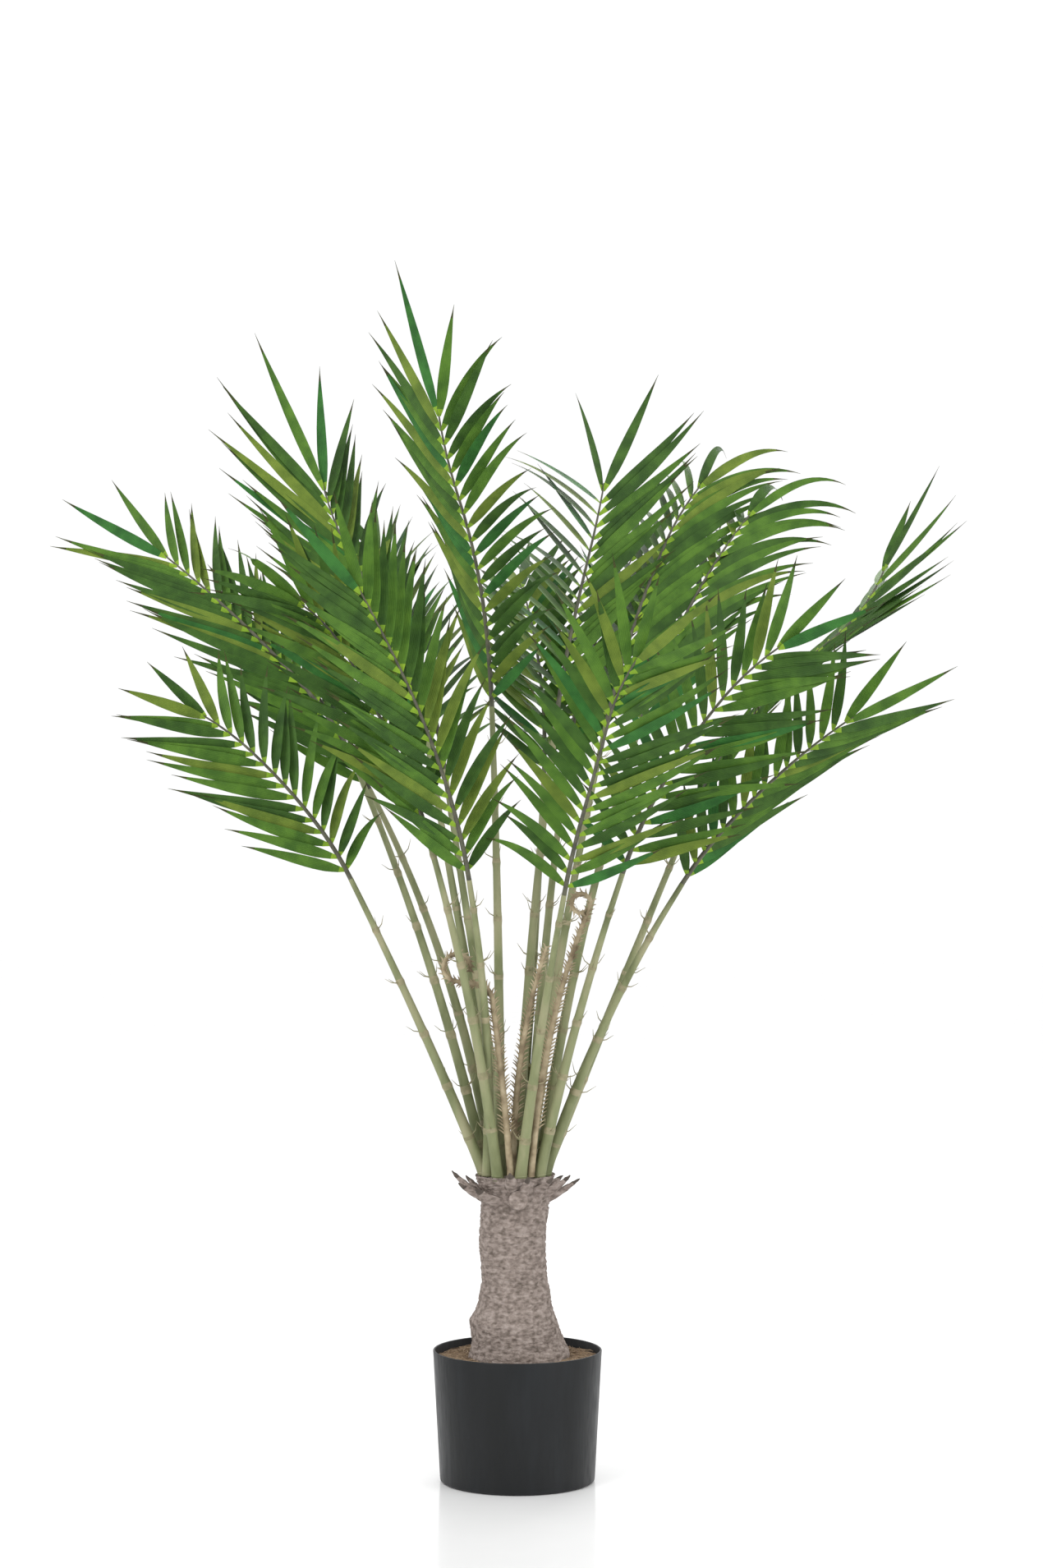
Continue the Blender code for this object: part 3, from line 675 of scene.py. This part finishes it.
def leaf_surface(name, pale, deep, roughness):
    """Printed leaf cloth: two tones that drift, with fine veins along the blade."""
    material = bpy.data.materials.new(name)
    material.use_nodes = True
    tree = material.node_tree
    shader = tree.nodes["Principled BSDF"]
    shader.inputs["Roughness"].default_value = roughness
    shader.inputs["Specular IOR Level"].default_value = LEAF_SHINE
    place = tree.nodes.new("ShaderNodeTexCoord")
    drift = add_node(tree, "ShaderNodeTexNoise", Scale=LEAF_DRIFT, Detail=LEAF_DRIFT_DETAIL)
    tree.links.new(place.outputs["Object"], drift.inputs["Vector"])
    along = tree.nodes.new("ShaderNodeUVMap")
    along.uv_map = "blade"
    veins = add_node(tree, "ShaderNodeTexWave", Scale=LEAF_VEINS, Distortion=VEIN_WANDER)
    veins.bands_direction = "X"
    tree.links.new(along.outputs["UV"], veins.inputs["Vector"])
    blend = tree.nodes.new("ShaderNodeMath")
    blend.operation = "MULTIPLY_ADD"
    blend.inputs[1].default_value = VEIN_TONE
    tree.links.new(veins.outputs["Fac"], blend.inputs[0])
    tree.links.new(drift.outputs["Fac"], blend.inputs[2])
    ramp = tree.nodes.new("ShaderNodeValToRGB")
    for element, spot, tone in zip(ramp.color_ramp.elements, (DEEP_SPOT, PALE_SPOT), (deep, pale)):
        element.position = spot
        element.color = (*tone, 1.0)
    tree.links.new(blend.outputs["Value"], ramp.inputs["Fac"])
    tree.links.new(ramp.outputs["Color"], shader.inputs["Base Color"])
    add_relief(tree, veins.outputs["Fac"], VEIN_RELIEF, VEIN_STRENGTH)
    return material


LEAF_FINISHES = [
    leaf_surface("leaf_dark_green", (0.050, 0.125, 0.014), (0.020, 0.062, 0.006), roughness=0.50),
    leaf_surface("leaf_green", (0.085, 0.190, 0.018), (0.038, 0.105, 0.009), roughness=0.50),
    leaf_surface("leaf_olive", (0.150, 0.220, 0.026), (0.080, 0.135, 0.014), roughness=0.55),
    leaf_surface("leaf_emerald", (0.035, 0.160, 0.024), (0.014, 0.082, 0.012), roughness=0.50),
    leaf_surface("leaf_underside", (0.070, 0.165, 0.022), (0.034, 0.098, 0.012), roughness=0.60),
    leaf_surface("leaf_lime_base", (0.260, 0.420, 0.030), (0.150, 0.280, 0.018), roughness=0.55),
    leaf_surface("leaf_brown_tip", (0.065, 0.075, 0.016), (0.032, 0.038, 0.010), roughness=0.60),
]
UNDERSIDE, LIME, BROWN = 4, 5, 6
rachis_dark = finish_surface("dark_rachis", ((0.045, 0.045, 0.030), (0.10, 0.10, 0.06)),
                             scale=90, roughness=(0.45, 0.65), relief=0.0002)


def inner_row(frond, sign):
    """Whether this row of leaflets is the one on the palm's side, which shows its face."""
    return (sign > 0) == (frond.left[2] > 0)


def leaflet_spine(root, rib_way, way, length, curl, sink):
    """Points along one leaflet, and its direction at each."""
    path = [root]
    ways = [way]
    for step in range(1, LEAF_STEPS + 1):
        share = step / LEAF_STEPS
        ways.append(unit(way + rib_way * curl * share - UP * sink * share ** 2))
        path.append(path[-1] + ways[-1] * length / LEAF_STEPS)
    return path, ways


def add_leaflet(points, faces, kinds, uvs, path, ways, rib_way, normal, twist, tone):
    """Adds one folded blade, four corners round at each station, drawn out to its tip."""
    start = len(points)
    for step, (place, way) in enumerate(zip(path, ways)):
        share = step / LEAF_STEPS
        face = unit(normal - way * np.dot(normal, way))
        across = np.cross(way, face)
        if np.dot(across, rib_way) < 0:
            across = -across
        across = math.cos(twist) * across - math.sin(twist) * face
        upper = np.cross(way, across)
        if np.dot(upper, normal) < 0:
            upper = -upper
        half = LEAF_WIDTH / 2 * float(np.interp(share, WIDTH_SHARES, WIDTHS))
        thick = LEAF_THICK / 2 * (1 - LEAF_THINNING * share)
        lifted = upper * half * LEAF_FOLD
        points += [place - across * half + lifted, place + upper * thick,
                   place + across * half + lifted, place - upper * thick]
        uvs += [(0.0, share), (0.5, share), (1.0, share), (0.5, share)]
        if step:
            high = start + LEAF_CORNERS * step
            shade = LIME if share <= LIME_END else (BROWN if share > TIP_START else tone)
            below = shade if shade in (LIME, BROWN) else UNDERSIDE
            for side in range(LEAF_CORNERS):
                faces.append(ring_face(high - LEAF_CORNERS, high, side, LEAF_CORNERS))
                kinds.append(shade if side < 2 else below)
    last = start + LEAF_CORNERS * LEAF_STEPS
    faces.append(tuple(range(start, start + LEAF_CORNERS)))
    faces.append(tuple(range(last, last + LEAF_CORNERS)))
    kinds += [LIME, BROWN]


for number, frond, blade_start, end_way in blades:
    rib, rib_ways = leaning_path(blade_start + end_way * GAP, BLADE_STATIONS, frond.left[1:], frond.back[1:],
                                 frond.blade * MM, frond.pairs)
    rib_line = smooth_path([blade_start - end_way * RIB_SUNK] + rib, RIB_POINTS)
    points, faces = [], []
    add_bar(points, faces, rib_line, np.linspace(STEM_TIP_RADIUS, RIB_TIP_RADIUS, RIB_POINTS), RIB_SIDES)
    put(mesh_piece(f"rachis_{number:02d}", points, faces, [rachis_dark]), "stem_plastic")

    rng = random.Random(LEAF_SEED + number)
    towards = 1 if (frond.face > 0) == (frond.left[2] > 0) else -1
    first_length, last_length = frond.leaf
    lengths = (FIRST_LENGTH * first_length, first_length, first_length, last_length)
    count = round(frond.pairs * LEAF_MORE)
    points, faces, kinds, uvs = [], [], [], []
    for index in range(count):
        share = index / (count - 1)
        spot = share * (frond.pairs - 1) + 0.5
        low = min(int(spot), frond.pairs - 1)
        root = rib[low] + (rib[low + 1] - rib[low]) * (spot - low)
        rib_way = rib_ways[low]
        normal = turned(unit(FRONT - rib_way * np.dot(FRONT, rib_way)), rib_way, math.radians(frond.face))
        for sign in (1, -1):
            inner = inner_row(frond, sign)
            spread = np.interp(share, SPREAD_STATIONS, frond.spread)
            spread += rng.uniform(-SPREAD_STRAY, SPREAD_STRAY)
            if index == count - 1:
                spread *= LAST_PAIR
            length = np.interp(share, LENGTH_STATIONS, lengths)
            length *= MM * rng.uniform(*LENGTH_RANGE)
            curl = (INNER_CURL if inner else OUTER_CURL) + rng.uniform(-CURL_STRAY, CURL_STRAY)
            sink = rng.uniform(0, SINK_MOST) * (1 - SINK_EASE * share) - frond.lift * share
            tone = rng.choices((0, 1, 2, 3), TONE_CHANCES)[0]
            twist = towards * (INNER_TWIST if inner else OUTER_TWIST)
            if inner:
                length *= INNER_LENGTH
            else:
                spread *= OUTER_SPREAD
            angle = math.radians(spread)
            side = np.cross(rib_way, normal) * sign
            out = math.cos(ROW_DROOP) * side + math.sin(ROW_DROOP) * normal
            way = unit(math.cos(angle) * rib_way + math.sin(angle) * out)
            path, ways = leaflet_spine(root + side * RIB_TIP_RADIUS, rib_way, way, length, curl, sink)
            add_leaflet(points, faces, kinds, uvs, path, ways, rib_way, normal, twist, tone)
    put(mesh_piece(f"leaflets_{number:02d}", points, faces, LEAF_FINISHES, kinds, uvs, sharp=25),
        "leaf_fabric", f"frond_{number:02d}")

# The young fronds: thin tan rods of bent plastic, two of them still rolled up at the end,
# with their folded leaflets standing along both sides as a close comb of small teeth.
CURL_RADIUS = (0.0042, 0.0016)
CURL_STEPS = 24
CURL_EASE = 1.6
CURL_POINTS = 120
CURL_SIDES = 12
COMB_START = 0.14
TOOTH_LENGTH = 0.009
TOOTH_LENGTHS = (1.2, 0.6)
TOOTH_SPACING = 0.005
TOOTH_OUT = 0.8
TOOTH_ALONG = 0.7
TOOTH_BOW = 0.0008
TOOTH_RADIUS = 0.0011
TOOTH_TAPER = (1, 0.8, 0.2)
TOOTH_SUNK = 0.6
TOOTH_SIDES = 6
# Foot on the trunk's top (x, y mm); shares of the rod; its lean to the left there, and back
# (degrees); and its length (mm)
Curl = namedtuple("Curl", "foot spots left back length")
CURLS = (
    Curl((-5, -36), (0, 0.62, 0.70, 0.78, 1), (4, 8, 90, 70, -200), -3, 330),
    Curl((-2, -17), (0, 0.4, 1), (0, -6, -18), -4, 265),
    Curl((19, -32), (0, 0.45, 0.84, 1), (-4, -12, -22, 290), -3, 375),
)
tan = finish_surface("young_tan", ((0.16, 0.12, 0.07), (0.30, 0.24, 0.15), (0.42, 0.35, 0.23)),
                     scale=70, roughness=(0.55, 0.75), relief=0.0003, shine=0.3)
for number, curl in enumerate(CURLS, 1):
    foot = foot_point(curl.foot)
    coarse = [foot, foot + UP * FOOT_RISE]
    cuts = [1 - (1 - step / CURL_STEPS) ** CURL_EASE for step in range(CURL_STEPS + 1)]
    for low, high in zip(cuts, cuts[1:]):
        way = heading(np.interp((low + high) / 2, curl.spots, curl.left), curl.back)
        coarse.append(coarse[-1] + way * curl.length * MM * (high - low))
    path = smooth_path(coarse, CURL_POINTS)
    radii = np.linspace(*CURL_RADIUS, CURL_POINTS)
    points, faces = [], []
    add_bar(points, faces, path, radii, CURL_SIDES)
    put(mesh_piece(f"curled_frond_{number}", points, faces, [tan]), "young_frond_plastic",
        f"young_frond_{number}")
    travel = travel_along(path)
    points, faces = [], []
    for along in np.arange(COMB_START * travel[-1], travel[-1], TOOTH_SPACING):
        index = min(max(1, int(np.searchsorted(travel, along))), len(path) - 1)
        way = unit(path[index] - path[index - 1])
        size = np.interp(along, (0, travel[-1]), TOOTH_LENGTHS)
        for sign in (1, -1):
            side = unit(np.cross(way, FRONT)) * sign
            root = path[index] + side * radii[index] * TOOTH_SUNK
            tip = root + (side * TOOTH_OUT + way * TOOTH_ALONG) * TOOTH_LENGTH * size
            middle = (root + tip) / 2 + way * TOOTH_BOW
            add_bar(points, faces, [root, middle, tip], [TOOTH_RADIUS * taper for taper in TOOTH_TAPER],
                    TOOTH_SIDES)
    put(mesh_piece(f"curled_comb_{number}", points, faces, [tan]), "young_frond_plastic")

# The setting: a wide pale floor with a soft gloss, white surroundings, and large soft lamps
# at the left, the right and behind, as in a plain studio.
FLOOR_REACH = 30
FLOOR_LEVEL = -0.0004
ROOM_WHITE = (1.0, 1.0, 1.0, 1.0)
ROOM_STRENGTH = 1.02
mesh = bpy.data.meshes.new("floor")
mesh.from_pydata([(x * FLOOR_REACH, y * FLOOR_REACH, FLOOR_LEVEL)
                  for x, y in ((-1, -1), (1, -1), (1, 1), (-1, 1))], [], [(0, 1, 2, 3)])
floor = bpy.data.objects.new("floor", mesh)
bpy.context.scene.collection.objects.link(floor)
mesh.materials.append(finish_surface("pale_floor", ((0.94, 0.94, 0.94), (0.96, 0.96, 0.96)),
                                     scale=3, roughness=(0.10, 0.16), relief=0.00001))

world = bpy.data.worlds.new("white_room")
world.use_nodes = True
world.node_tree.nodes["Background"].inputs["Color"].default_value = ROOM_WHITE
world.node_tree.nodes["Background"].inputs["Strength"].default_value = ROOM_STRENGTH
bpy.context.scene.world = world


def point_at(thing, place, aim):
    """Sets a lamp or a camera at a place, facing a point."""
    thing.location = place
    thing.rotation_euler = (Vector(aim) - Vector(place)).to_track_quat("-Z", "Y").to_euler()


def add_lamp(name, place, aim, side, power):
    """A large square soft lamp that faces a point."""
    data = bpy.data.lights.new(name, "AREA")
    data.size = side
    data.energy = power
    lamp = bpy.data.objects.new(name, data)
    bpy.context.scene.collection.objects.link(lamp)
    point_at(lamp, place, aim)


add_lamp("left_lamp", place=(-2.2, -2.6, 2.8), aim=(0, 0, 0.8), side=1.6, power=60)
add_lamp("right_lamp", place=(2.6, -1.8, 2.0), aim=(0, 0, 0.8), side=1.6, power=34)
add_lamp("back_lamp", place=(0.6, 2.8, 3.0), aim=(0, 0, 0.9), side=1.8, power=40)
bpy.context.scene.view_settings.view_transform = "Standard"

# The camera: 4.2 m in front of the pot, about as high as the tallest stems end, and turned
# a little down, so that the plant stands in the frame about as it does in the photo.
CAMERA_PLACE = (0.0, -4.2, 0.8804)
CAMERA_AIM = (0.0047, 0.0, 0.8042)
CAMERA_LENS = 83.73
SENSOR_WIDTH = 36
camera_data = bpy.data.cameras.new("camera")
camera_data.lens = CAMERA_LENS
camera_data.sensor_width = SENSOR_WIDTH
camera = bpy.data.objects.new("camera", camera_data)
bpy.context.scene.collection.objects.link(camera)
point_at(camera, CAMERA_PLACE, CAMERA_AIM)
bpy.context.scene.camera = camera

bpy.context.view_layer.update()
